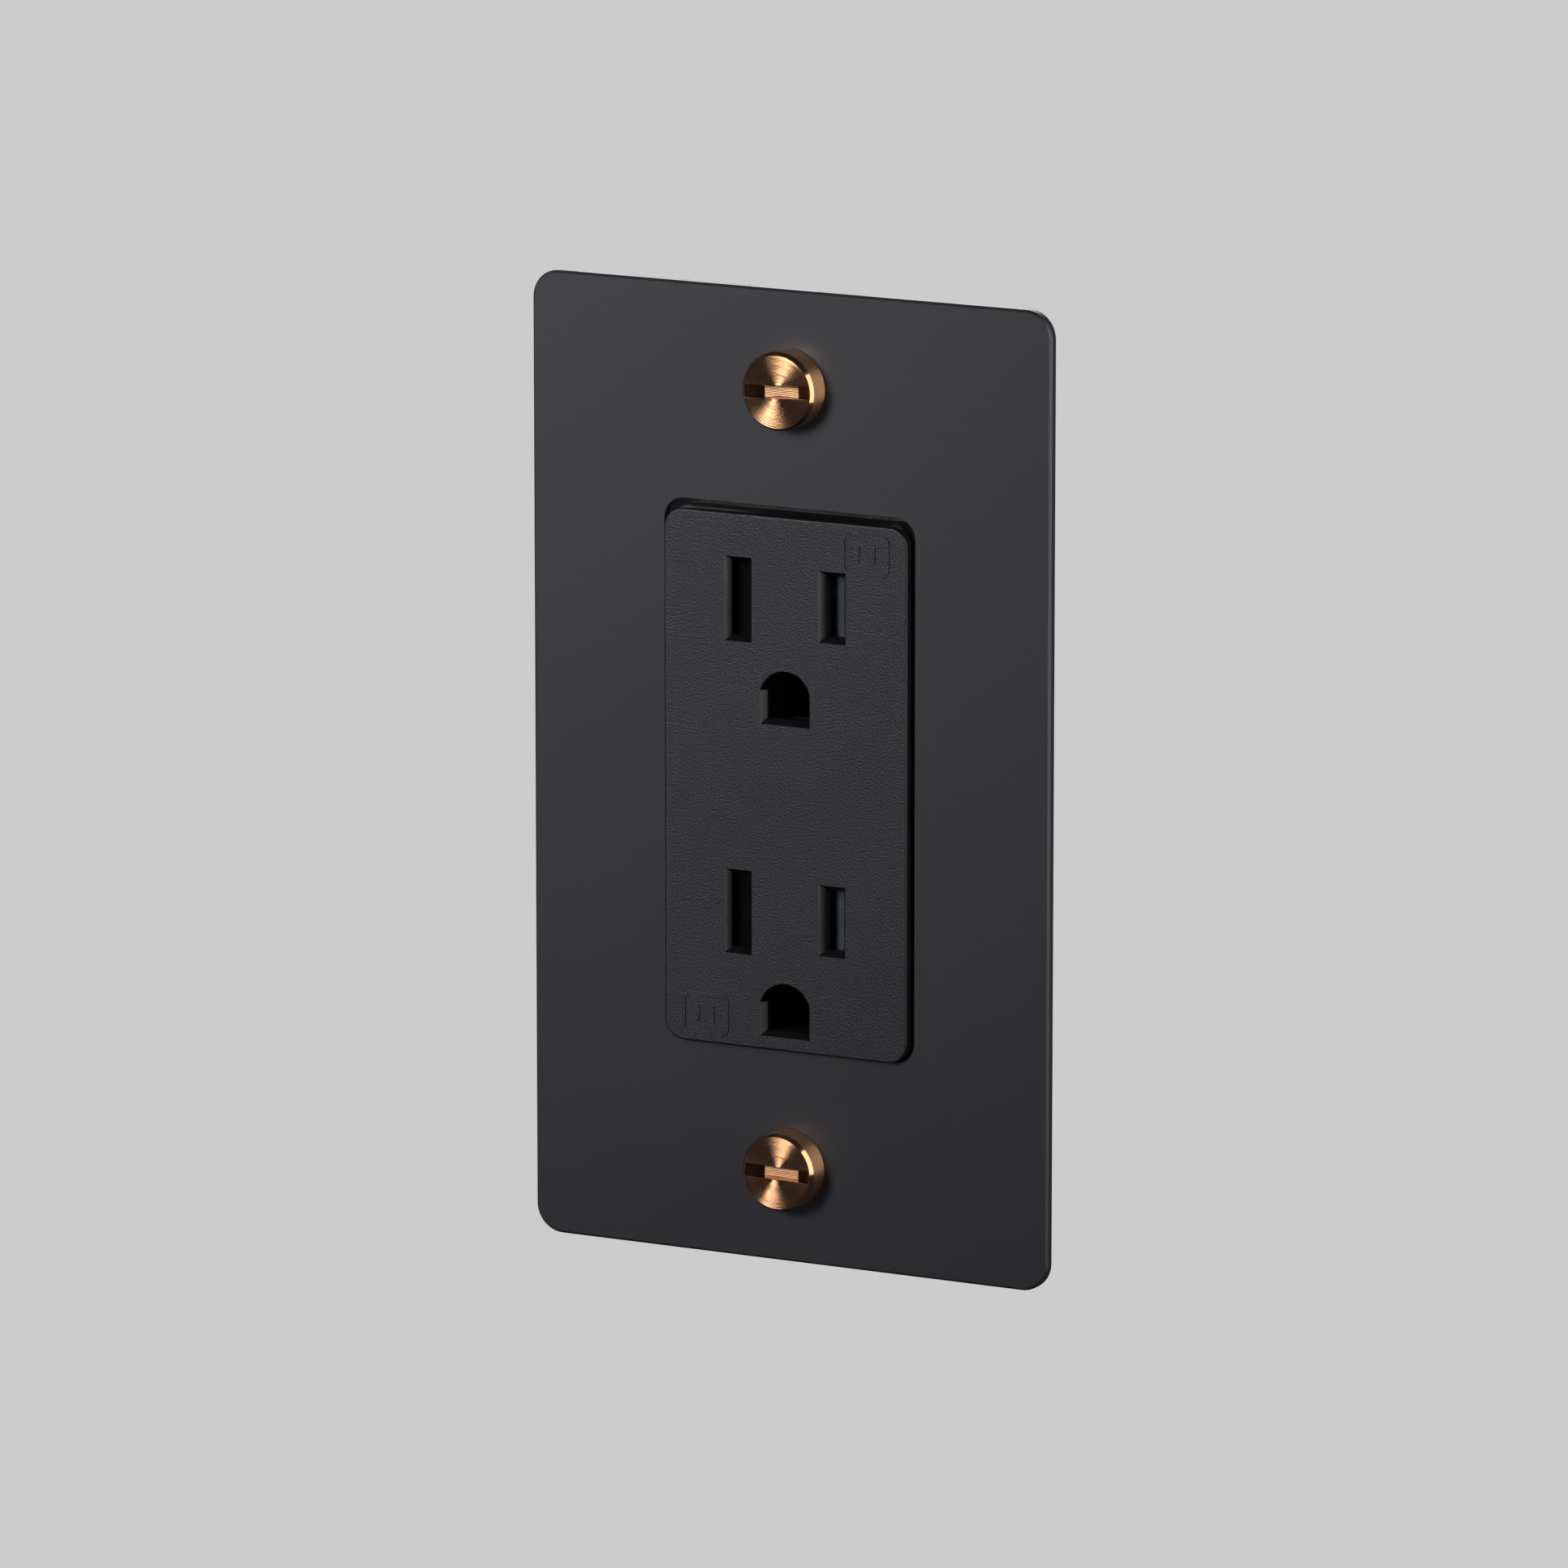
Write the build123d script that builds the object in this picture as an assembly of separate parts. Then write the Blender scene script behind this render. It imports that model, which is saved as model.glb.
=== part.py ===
from build123d import *
import math
import os

# Duplex wall outlet of the rectangular-face kind, with its metal wall plate and coin-head plate screws.
# Frame: origin at the centre of the strap's rear face, which seats on the outlet box. X right, Z up,
# and +Y runs into the wall, so the outlet faces -Y. Millimetres.

# --- driving dimensions ---
PLATE_W = 69.9
PLATE_H = 120.65
PLATE_T = 1.2
PLATE_R = 3.5
PLATE_BEVEL = 0.3
PLATE_GAP = 4.2            # from the plate's back to the strap's front
OPENING_W = 33.9
OPENING_H = 67.4
OPENING_R = 2.6

STRAP_T = 1.3
STRAP_FRONT = -STRAP_T
PLATE_BACK = STRAP_FRONT - PLATE_GAP
PLATE_FRONT = PLATE_BACK - PLATE_T
BOX_SCREW_Z = 41.67        # half of the 3.281 in box-screw spacing
PLATE_SCREW_Z = 48.42      # half of the 3.8125 in plate-screw spacing
SHANK_R = 1.70             # 6-32 thread
NECK_R = 1.45              # box screw, where it passes the strap
WASHER_T = 0.5
TAPPED_R = 1.75

FACE_W = 32.8
FACE_H = 66.2
FACE_R = 2.4
FACE_Z = -0.5              # the face sits a little low in the plate's opening
FACE_PROUD = 1.2
FACE_FRONT = PLATE_FRONT - FACE_PROUD
FACE_WALL = 2.0
SIDE_WALL = 1.8
FLANGE_T = 2.1             # foot of the cover, seated on the strap and wider than the plate's opening
FLANGE_OVER = 2.6
CAVITY_FRONT = FACE_FRONT + FACE_WALL

# NEMA 5-15R pattern: blades 12.7 mm apart, earth pin 11.89 mm below them.
SLOT_X = 6.35
EARTH_DROP = 11.89
OUTLETS = {"top": 22.06, "bottom": -16.78}   # height of each outlet's blade slots
BLADE_SLOT_W = 2.5
NEUTRAL_SLOT_H = 9.3
HOT_SLOT_H = 7.65
LEAD_IN = 0.6              # width of the lead-in round each hole
LEAD_DEPTH = 0.95
EARTH_R = 3.5
EARTH_HALF_W = 3.39
EARTH_STEP = 0.87          # height of the straight sides above the hole's centre
EARTH_FOOT = 3.27

COIN_R = 4.85
COIN_H = 3.45
COIN_BEVEL_R = 0.36
COIN_BEVEL_H = 0.50
COIN_SLOT_W = 1.6
COIN_SLOT_HALF_L = 4.3
COIN_SLOT_DEPTH = 1.4
COIN_SLOT_RISE = 2.05      # length of the curve at each end of the slot
COIN_SHANK_L = 9.5
COIN_SLOT_TURN = {"top": 2.5, "bottom": -1.0}
PLATE_HOLE_R = 2.05

SHUTTER_IN = 3.9
SHUTTER_OUT = 9.1
SHUTTER_HALF_H = 5.0
SHUTTER_FRONT = CAVITY_FRONT + 0.1
SHUTTER_T = 1.8
SHUTTER_TRAVEL = 3.6       # outward, far enough to clear the slot
SPRING_R = 0.95
SPRING_BORE = 0.72
CARRIER_FRONT = SHUTTER_FRONT + SHUTTER_T + 0.1
BOSS_X = 12.6
BOSS_Z = (29.1, -30.1)

BODY_DEPTH = 24.0
BODY_HALF_W = 16.4
BODY_H = 71.0
BODY_WALL = 1.6
BODY_BACK = 2.0
CHANNEL_X = 12.4           # floor of the side channel that holds the terminals
CHANNEL_HALF_H = 21.0
CHANNEL_Y = (3.0, 18.4)
TERMINAL_Z = 13.5
TERMINAL_Y = 10.0
TERMINAL_T = 0.9
TERMINAL_R = 2.0
EARTH_SCREW_Z = -26.0
EARTH_SCREW_Y = 5.5
LEAF_T = 0.6
CLEAR = 0.05


def slab(outline, front, back):
    """A flat outline in X and Z, made solid from y=front to y=back."""
    plane = Plane(origin=(0, back, 0), x_dir=(1, 0, 0), z_dir=(0, -1, 0))
    return extrude(plane * outline, amount=back - front)


def rod(x, z, radius, front, back):
    return slab(Pos(x, z) * Circle(radius), front, back)


def side_slab(outline, low_x, high_x):
    """A flat outline in Y and Z, made solid from x=low_x to x=high_x."""
    plane = Plane(origin=(low_x, 0, 0), x_dir=(0, 1, 0), z_dir=(1, 0, 0))
    return extrude(plane * outline, amount=high_x - low_x)


def side_rod(y, z, radius, low_x, high_x):
    return side_slab(Pos(y, z) * Circle(radius), low_x, high_x)


def bar(x, y, z):
    """A block between the given (low, high) pairs."""
    size = (x[1] - x[0], y[1] - y[0], z[1] - z[0])
    return Pos((x[0] + x[1]) / 2, (y[0] + y[1]) / 2, (z[0] + z[1]) / 2) * Box(*size)


def mirrored(shape):
    return mirror(shape, about=Plane.YZ)


def front_rim(shape):
    """The outer edges of the frontmost face."""
    return shape.faces().sort_by(Axis.Y)[0].outer_wire().edges()


def save(shape, node):
    export_step(shape, f"parts/{node}.step")


# --- wall plate and its screws ---
def faceplate():
    plate = slab(RectangleRounded(PLATE_W, PLATE_H, PLATE_R), PLATE_FRONT, PLATE_BACK)
    plate = chamfer(front_rim(plate), PLATE_BEVEL)
    plate -= slab(RectangleRounded(OPENING_W, OPENING_H, OPENING_R), PLATE_FRONT - 1, PLATE_BACK + 1)
    for z in (PLATE_SCREW_Z, -PLATE_SCREW_Z):
        plate -= rod(0, z, PLATE_HOLE_R, PLATE_FRONT - 1, PLATE_BACK + 1)
    return plate


def coin_screw(place):
    """Turned disc head on a plain shank. Its slot has a flat floor that curves up at both ends."""
    z = PLATE_SCREW_Z if place == "top" else -PLATE_SCREW_Z
    seat = PLATE_FRONT - 0.02
    face = seat - COIN_H
    profile = make_face(
        Polyline(
            (0, seat), (COIN_R, seat), (COIN_R, face + COIN_BEVEL_H),
            (COIN_R - COIN_BEVEL_R, face), (0, face), close=True,
        )
    )
    head = revolve(profile, Axis.Y)
    curve_r = (COIN_SLOT_RISE**2 + COIN_SLOT_DEPTH**2) / (2 * COIN_SLOT_DEPTH)
    flat = COIN_SLOT_HALF_L - COIN_SLOT_RISE
    floor = face + COIN_SLOT_DEPTH
    cutter = bar((-flat, flat), (face - 1, floor), (-COIN_SLOT_W / 2, COIN_SLOT_W / 2))
    for x in (-flat, flat):
        cutter += Pos(x, floor - curve_r, 0) * Cylinder(curve_r, COIN_SLOT_W)
    head -= Rot(0, -COIN_SLOT_TURN[place], 0) * cutter
    shank = rod(0, 0, SHANK_R, seat - 0.5, seat + COIN_SHANK_L)
    shank = chamfer(shank.faces().sort_by(Axis.Y)[-1].edges(), 0.4)
    return Pos(0, 0, z) * (head + shank)


# --- face cover ---
def blade_slot(x, z, height):
    """Straight slot through the front wall with a steep lead-in on all four sides."""
    wide = Pos(x, z) * Rectangle(BLADE_SLOT_W + 2 * LEAD_IN, height + 2 * LEAD_IN)
    inner = Pos(x, z) * Rectangle(BLADE_SLOT_W, height)
    plane = Plane(origin=(0, FACE_FRONT, 0), x_dir=(1, 0, 0), z_dir=(0, -1, 0))
    funnel = loft([plane * wide, plane.offset(-LEAD_DEPTH) * inner])
    return funnel + slab(inner, FACE_FRONT - 0.01, CAVITY_FRONT + 1)


def earth_hole(z):
    """Round-topped hole, flat at the foot, with its lead-in below the round part only."""
    def straight(inset):
        height = EARTH_FOOT + EARTH_STEP - inset
        return Pos(0, z + EARTH_STEP - height / 2) * Rectangle(2 * (EARTH_HALF_W - inset), height)

    plane = Plane(origin=(0, FACE_FRONT, 0), x_dir=(1, 0, 0), z_dir=(0, -1, 0))
    funnel = loft([plane * straight(0), plane.offset(-LEAD_DEPTH) * straight(LEAD_IN)])
    below_step = Pos(0, z + EARTH_STEP - EARTH_R) * Rectangle(3 * EARTH_R, 2 * EARTH_R)
    crown = Pos(0, z) * Circle(EARTH_R) - below_step
    through = slab(straight(LEAD_IN), FACE_FRONT, CAVITY_FRONT + 1)
    return funnel + through + slab(crown, FACE_FRONT - 0.01, CAVITY_FRONT + 1)


def shutter_mark():
    """Small raised pictogram: a frame with two upright bars."""
    frame = RectangleRounded(6.4, 5.2, 1.0) - RectangleRounded(5.5, 4.3, 0.6)
    bars = Pos(-1.05, 0) * Rectangle(0.5, 2.2) + Pos(1.05, 0) * Rectangle(0.5, 2.2)
    return slab(frame + bars, FACE_FRONT - 0.15, FACE_FRONT + 0.2)


def face_cover():
    cover = slab(Pos(0, FACE_Z) * RectangleRounded(FACE_W, FACE_H, FACE_R), FACE_FRONT, STRAP_FRONT)
    cover = fillet(front_rim(cover), 0.25)
    foot = RectangleRounded(FACE_W + 2 * FLANGE_OVER, FACE_H + 2 * FLANGE_OVER, FACE_R + FLANGE_OVER)
    cover += slab(Pos(0, FACE_Z) * foot, STRAP_FRONT - FLANGE_T, STRAP_FRONT)
    cavity_w = FACE_W - 2 * SIDE_WALL
    cavity_h = FACE_H - 2 * SIDE_WALL
    cover -= slab(Pos(0, FACE_Z) * RectangleRounded(cavity_w, cavity_h, 1.0), CAVITY_FRONT, 0)
    cover += bar((-cavity_w / 2, cavity_w / 2), (CAVITY_FRONT - 0.2, STRAP_FRONT), (-2.6, -1.2))
    for z in OUTLETS.values():
        for side in (-1, 1):
            for rail in (-1, 1):
                low = z + rail * (SHUTTER_HALF_H + 0.5) - 0.4
                ends = sorted((side * 3.7, side * (cavity_w / 2 + 0.2)))
                cover += bar(ends, (CAVITY_FRONT - 0.2, CARRIER_FRONT - CLEAR), (low, low + 0.8))
    for z in BOSS_Z:
        for x in (-BOSS_X, BOSS_X):
            cover += rod(x, z, 1.9, CAVITY_FRONT - 0.2, STRAP_FRONT)
            cover -= rod(x, z, 1.05, CAVITY_FRONT, STRAP_FRONT + 1)
    for z in OUTLETS.values():
        cover -= blade_slot(SLOT_X, z, HOT_SLOT_H)
        cover -= blade_slot(-SLOT_X, z, NEUTRAL_SLOT_H)
        cover -= earth_hole(z - EARTH_DROP)
    mark = Pos(10.85, 0, 29.0 - FACE_Z) * shutter_mark()
    for turn in (0, 180):
        cover += Pos(0, 0, FACE_Z) * Rot(0, turn, 0) * mark
    return cover


# --- shutters behind the blade slots ---
def hot_shutter(z):
    """Slider that covers the hot slot. A blade pushes its ramp, which moves it outward, to +X."""
    back = SHUTTER_FRONT + SHUTTER_T
    slider = bar((SHUTTER_IN, SHUTTER_OUT), (SHUTTER_FRONT, back), (z - SHUTTER_HALF_H, z + SHUTTER_HALF_H))
    ramp = make_face(
        Polyline(
            (4.6, SHUTTER_FRONT - 0.01), (8.3, SHUTTER_FRONT - 0.01), (4.6, SHUTTER_FRONT + 1.4), close=True,
        )
    )
    slider -= Pos(0, 0, z - 4.6) * extrude(ramp, amount=9.2)
    middle = SHUTTER_FRONT + SHUTTER_T / 2
    post_end = FACE_W / 2 - SIDE_WALL - SHUTTER_TRAVEL - 0.6
    return slider + side_rod(middle, z, 0.62, SHUTTER_OUT - 0.2, post_end)


def hot_spring(z):
    """Space taken by the coil spring between the slider and the cover's side wall."""
    middle = SHUTTER_FRONT + SHUTTER_T / 2
    wall = FACE_W / 2 - SIDE_WALL
    tube = side_rod(middle, z, SPRING_R, SHUTTER_OUT + 0.02, wall - 0.02)
    return tube - side_rod(middle, z, SPRING_BORE, SHUTTER_OUT - 1, wall + 1)


def shutter_carrier(place):
    """Tray behind the sliders, with through holes for the plug's blades and pin."""
    z = OUTLETS[place]
    low, high = (z - 16.5, z + 8.2) if place == "top" else (z - 14.6, z + 13.4)
    tray = bar((-14.3, 14.3), (CARRIER_FRONT, STRAP_FRONT), (low, high))
    for x in (-SLOT_X, SLOT_X):
        tray -= slab(Pos(x, z) * Rectangle(3.0, 9.6), CARRIER_FRONT - 1, STRAP_FRONT + 1)
    tray -= slab(Pos(0, z - EARTH_DROP) * RectangleRounded(6.8, 6.8, 1.5), CARRIER_FRONT - 1, STRAP_FRONT + 1)
    for boss_z in BOSS_Z:
        for side in (-1, 1):
            notch_x = sorted((side * (BOSS_X - 2.1), side * FACE_W / 2))
            notch_z = sorted((boss_z - math.copysign(2.1, boss_z), math.copysign(FACE_H, boss_z)))
            tray -= bar(notch_x, (CARRIER_FRONT - 1, STRAP_FRONT + 1), notch_z)
    return tray


# --- strap ---
def strap():
    outline = Rectangle(2 * BODY_HALF_W, 74.0)
    for side in (-1, 1):
        outline += Pos(0, side * 40.5) * Rectangle(19.0, 9.0)
        outline += Pos(0, side * 48.6) * RectangleRounded(33.0, 8.6, 2.6)
    for side in (-1, 1):
        outline -= Pos(0, side * BOX_SCREW_Z) * SlotOverall(7.6, 4.4)
        outline -= Pos(0, side * PLATE_SCREW_Z) * Circle(TAPPED_R)
        for x in (-11.8, 11.8):
            outline -= Pos(x, side * 48.6) * Circle(1.7)
            outline -= Pos(x * 0.64, side * 53.1) * Rotation(0, 0, 45) * Rectangle(1.4, 1.4)
    outline -= Pos(0, 16.75) * RectangleRounded(20.8, 23.5, 1.5)
    outline -= Pos(0, -21.75) * RectangleRounded(20.8, 22.5, 1.5)
    for z in BOSS_Z:
        for x in (-BOSS_X, BOSS_X):
            outline -= Pos(x, z) * Circle(1.2)
    for z in (-4.2, -1.0):
        outline -= Pos(0, z) * Circle(0.8)
    plate = slab(outline, STRAP_FRONT, 0)
    tab_x = (-BODY_HALF_W - 0.1 - STRAP_T, -BODY_HALF_W - 0.1)
    tab_z = (EARTH_SCREW_Z - 4.3, EARTH_SCREW_Z + 4.3)
    tab = bar(tab_x, (STRAP_FRONT, 10.4), tab_z)
    tab += bar((tab_x[0] + 0.2, -BODY_HALF_W + 0.5), (STRAP_FRONT, 0), tab_z)
    tab = fillet(tab.edges().filter_by(Axis.Z).sort_by(Axis.Y)[:2].sort_by(Axis.X)[:1], 1.0)
    return plate + tab - side_rod(EARTH_SCREW_Y, EARTH_SCREW_Z, TERMINAL_R + CLEAR, -30, -16)


# --- back body ---
def wire_holes():
    """Push-in wire holes and their release slots, four on each side."""
    holes = []
    for z in (-18.0, -8.0, 8.0, 18.0):
        for x in (-7.6, 7.6):
            holes.append(rod(x, z, 1.2, BODY_DEPTH - 5, BODY_DEPTH + 1))
            holes.append(slab(Pos(x, z + 3.6) * Rectangle(3.0, 1.1), BODY_DEPTH - 5, BODY_DEPTH + 1))
    return holes


def back_body():
    outer = Pos(0, FACE_Z) * RectangleRounded(2 * BODY_HALF_W, BODY_H, 2.2)
    body = slab(outer, 0, BODY_DEPTH)
    back_rim = body.faces().sort_by(Axis.Y)[-1].edges()
    body = chamfer(back_rim, 0.8)
    inner_back = BODY_DEPTH - BODY_BACK
    channel_depth = BODY_HALF_W - CHANNEL_X
    for side in (-1, 1):
        ends = sorted((side * CHANNEL_X, side * (BODY_HALF_W + 1)))
        body -= bar(ends, CHANNEL_Y, (-CHANNEL_HALF_H, CHANNEL_HALF_H))
    cavity = bar(
        (-BODY_HALF_W + BODY_WALL + channel_depth, BODY_HALF_W - BODY_WALL - channel_depth),
        (-1, inner_back),
        (FACE_Z - BODY_H / 2 + BODY_WALL, FACE_Z + BODY_H / 2 - BODY_WALL),
    )
    for end in (-1, 1):
        lobe_z = sorted((end * (CHANNEL_HALF_H + BODY_WALL), FACE_Z + end * (BODY_H / 2 - BODY_WALL)))
        cavity += bar((-BODY_HALF_W + BODY_WALL, BODY_HALF_W - BODY_WALL), (-1, inner_back), lobe_z)
    body -= cavity
    for z in BOSS_Z:
        for x in (-BOSS_X, BOSS_X):
            body += rod(x, z, 2.6, 0, inner_back + 0.5)
            body -= rod(x, z, 1.05, -1, BODY_DEPTH + 1)
            body -= rod(x, z, 2.0, BODY_DEPTH - 1.4, BODY_DEPTH + 1)
    for x in (-3.6, 3.6):
        rib = bar((x - 0.4, x + 0.4), (0.1, inner_back + 0.5), (4.0, 34.0))
        rib += bar((x - 0.4, x + 0.4), (0.1, inner_back + 0.5), (-35.0, -12.0))
        body += rib
    for side in (-1, 1):
        pocket = sorted((side * 10.0, side * (CHANNEL_X + 1)))
        for z in (-TERMINAL_Z, TERMINAL_Z):
            body -= side_rod(TERMINAL_Y, z, TERMINAL_R + 0.3, *pocket)
            body -= bar(pocket, (15.0, 16.8), (z - 2.2, z + 2.2))
    body -= side_rod(EARTH_SCREW_Y, EARTH_SCREW_Z, TERMINAL_R + 0.3, -BODY_HALF_W - 1, -14.9)
    for hole in wire_holes():
        body -= hole
    for side in (-1, 1):
        groove = Pos(side * 12.0, 0) * Rectangle(0.8, 14.0)
        body -= slab(groove, BODY_DEPTH - 0.5, BODY_DEPTH + 1)
    return body


# --- contacts ---
def ribbon(points):
    """A bent strip of sheet, seen edge-on in X and Y."""
    return trace(Polyline(*points), LEAF_T)


def blade_grip(z):
    """Double-wipe contact: two bent leaves that close on a blade from both sides."""
    outline = Sketch()
    for side in (-1, 1):
        outline += ribbon(
            [
                (SLOT_X + side * 1.9, 2.4), (SLOT_X + side * 0.9, 5.2), (SLOT_X + side * 0.95, 6.8),
                (SLOT_X + side * 1.75, 10.5), (SLOT_X + side * 1.75, 14.6),
            ]
        )
    leaves = Pos(0, 0, z - 3.2) * extrude(outline, amount=6.4)
    return leaves + bar((SLOT_X - 2.05, 9.6), (14.2, 14.8), (z - 3.2, z + 3.2))


def hot_contact_bar():
    """One brass stamping: two blade grips, spine, and two side terminals with their break-off fin."""
    metal = bar((9.2, 10.0), (14.2, 17.2), (OUTLETS["bottom"] - 3.2, OUTLETS["top"] + 3.2))
    for z in OUTLETS.values():
        metal += blade_grip(z)
    plate_x = (CHANNEL_X + 0.05, CHANNEL_X + 0.05 + TERMINAL_T)
    for z in (-TERMINAL_Z, TERMINAL_Z):
        metal += bar((9.6, plate_x[0] + 0.2), (15.2, 16.6), (z - 2.0, z + 2.0))
        plate = bar(plate_x, (3.8, 17.4), (z - 6.2, z + 6.2))
        plate = chamfer(plate.edges().filter_by(Axis.X), 0.8)
        metal += plate - side_rod(TERMINAL_Y, z, TERMINAL_R + CLEAR, 10, 20)
    metal += bar(plate_x, (6.0, 9.0), (-7.6, 7.6))
    return metal - side_rod(7.5, 0, 0.9, 10, 20)


def neutral_contact_bar():
    return mirrored(hot_contact_bar())


def earth_bus():
    """One stamping: two earth-pin cages on a spine, and a leg up to its foot on the strap."""
    outer = 3.05
    low_z = OUTLETS["bottom"] - EARTH_DROP - 2.4
    high_z = OUTLETS["top"] - EARTH_DROP + 2.4
    metal = bar((-outer, outer), (12.6, 13.3), (low_z, high_z))
    for blades in OUTLETS.values():
        z = blades - EARTH_DROP
        for side in (-1, 1):
            metal += bar(sorted((side * 2.35, side * outer)), (3.2, 12.8), (z - 2.4, z + 2.4))
    metal += bar((-2.9, 2.9), (0.1, 13.0), (-7.4, -6.7))
    foot = bar((-2.9, 2.9), (0, 0.7), (-7.4, 0.6))
    for z in (-4.2, -1.0):
        foot -= rod(0, z, 0.8, -1, 2)
    return metal + foot


def earth_bus_rivets():
    rivets = []
    for z in (-4.2, -1.0):
        rivets.append(rod(0, z, 0.78, STRAP_FRONT + 0.05, 0.9) + rod(0, z, 1.3, 0.7, 1.2))
    return Compound(children=rivets)


# --- terminal, box and assembly screws ---
def terminal_screw(z):
    """Round washer-head binding screw on the hot side, axis along X, backed out ready for a wire."""
    head_x = CHANNEL_X + TERMINAL_T + 1.0
    head = side_rod(TERMINAL_Y, z, 4.0, head_x, head_x + 2.0)
    head = fillet(head.faces().sort_by(Axis.X)[-1].edges(), 0.7)
    head -= bar((head_x + 1.0, head_x + 3), (TERMINAL_Y - 5, TERMINAL_Y + 5), (z - 0.55, z + 0.55))
    head -= bar((head_x + 1.0, head_x + 3), (TERMINAL_Y - 0.55, TERMINAL_Y + 0.55), (z - 2.4, z + 2.4))
    return head + side_rod(TERMINAL_Y, z, TERMINAL_R, 10.6, head_x + 0.5)


def earth_screw():
    """Hexagonal washer-head screw in the strap's side tab."""
    seat = -BODY_HALF_W - STRAP_T - 0.9
    y, z = EARTH_SCREW_Y, EARTH_SCREW_Z
    hexagon = Pos(y, z) * RegularPolygon(4.4, 6)
    head = side_slab(hexagon, seat - 2.4, seat - 0.5) + side_rod(y, z, 4.6, seat - 0.6, seat)
    head -= bar((seat - 4, seat - 1.4), (y - 6, y + 6), (z - 0.55, z + 0.55))
    return head + side_rod(y, z, TERMINAL_R, seat - 0.5, -15.0)


def box_screw(side):
    z = side * BOX_SCREW_Z
    seat = STRAP_FRONT - WASHER_T - 0.04
    head = rod(0, z, 3.45, seat - 1.6, seat)
    head = fillet(head.faces().sort_by(Axis.Y)[0].edges(), 0.8)
    head -= bar((-4, 4), (seat - 3, seat - 0.8), (z - 0.5, z + 0.5))
    head -= bar((-0.5, 0.5), (seat - 3, seat - 0.8), (z - 2.2, z + 2.2))
    shank = rod(0, z, SHANK_R, 0, 22.0)
    shank = chamfer(shank.faces().sort_by(Axis.Y)[-1].edges(), 0.5)
    return head + rod(0, z, NECK_R, seat - 0.5, 0.5) + shank


def screw_retainer():
    """Fibre washer that keeps the upper box screw from falling out."""
    outline = Pos(0, BOX_SCREW_Z) * (RectangleRounded(9.0, 8.0, 0.8) - Circle(NECK_R + CLEAR))
    return slab(outline, STRAP_FRONT - WASHER_T, STRAP_FRONT)


def self_earthing_clip():
    """Spring bronze clip under the lower box screw, hooked round the strap's edge."""
    outline = Pos(0, -BOX_SCREW_Z) * (RectangleRounded(12.0, 6.4, 1.2) - Circle(NECK_R + CLEAR))
    high = STRAP_FRONT - WASHER_T
    hook = ribbon([(-5.6, high + 0.2), (-9.9, high + 0.2), (-10.4, 0.2), (-8.6, 1.0), (-5.6, 0.4)])
    loop = Pos(0, 0, -BOX_SCREW_Z - 1.6) * extrude(hook, amount=3.2)
    return slab(outline, high, STRAP_FRONT) + loop


def assembly_screws():
    """Four long screws from the back body, through the strap, into the face cover's bosses."""
    screws = []
    for z in BOSS_Z:
        for x in (-BOSS_X, BOSS_X):
            head = rod(x, z, 1.9, BODY_DEPTH - 1.35, BODY_DEPTH - 0.1)
            head -= bar((x - 3, x + 3), (BODY_DEPTH - 0.7, BODY_DEPTH + 1), (z - 0.3, z + 0.3))
            screws.append(head + rod(x, z, 1.0, CAVITY_FRONT + 0.1, BODY_DEPTH - 1.0))
    return Compound(children=screws)


os.makedirs("parts", exist_ok=True)
save(faceplate(), "faceplate")
save(face_cover(), "face_cover")
save(strap(), "strap")
save(back_body(), "back_body")
save(hot_contact_bar(), "hot_contact_bar")
save(neutral_contact_bar(), "neutral_contact_bar")
save(earth_bus(), "earth_bus")
save(earth_bus_rivets(), "earth_bus_rivets")
save(earth_screw(), "earth_screw")
save(assembly_screws(), "assembly_screws")
save(screw_retainer(), "screw_retainer")
save(self_earthing_clip(), "self_earthing_clip")
for place, side in (("top", 1), ("bottom", -1)):
    slot_z = OUTLETS[place]
    save(coin_screw(place), f"coin_screw_{place}")
    save(box_screw(side), f"box_screw_{place}")
    save(shutter_carrier(place), f"shutter_carrier_{place}")
    save(hot_shutter(slot_z), f"hot_shutter_{place}")
    save(mirrored(hot_shutter(slot_z)), f"neutral_shutter_{place}")
    save(hot_spring(slot_z), f"hot_spring_{place}")
    save(mirrored(hot_spring(slot_z)), f"neutral_spring_{place}")
    save(terminal_screw(side * TERMINAL_Z), f"hot_terminal_screw_{place}")
    save(mirrored(terminal_screw(side * TERMINAL_Z)), f"neutral_terminal_screw_{place}")
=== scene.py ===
import math

import bmesh
import bpy
from mathutils import Matrix, Vector


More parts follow.
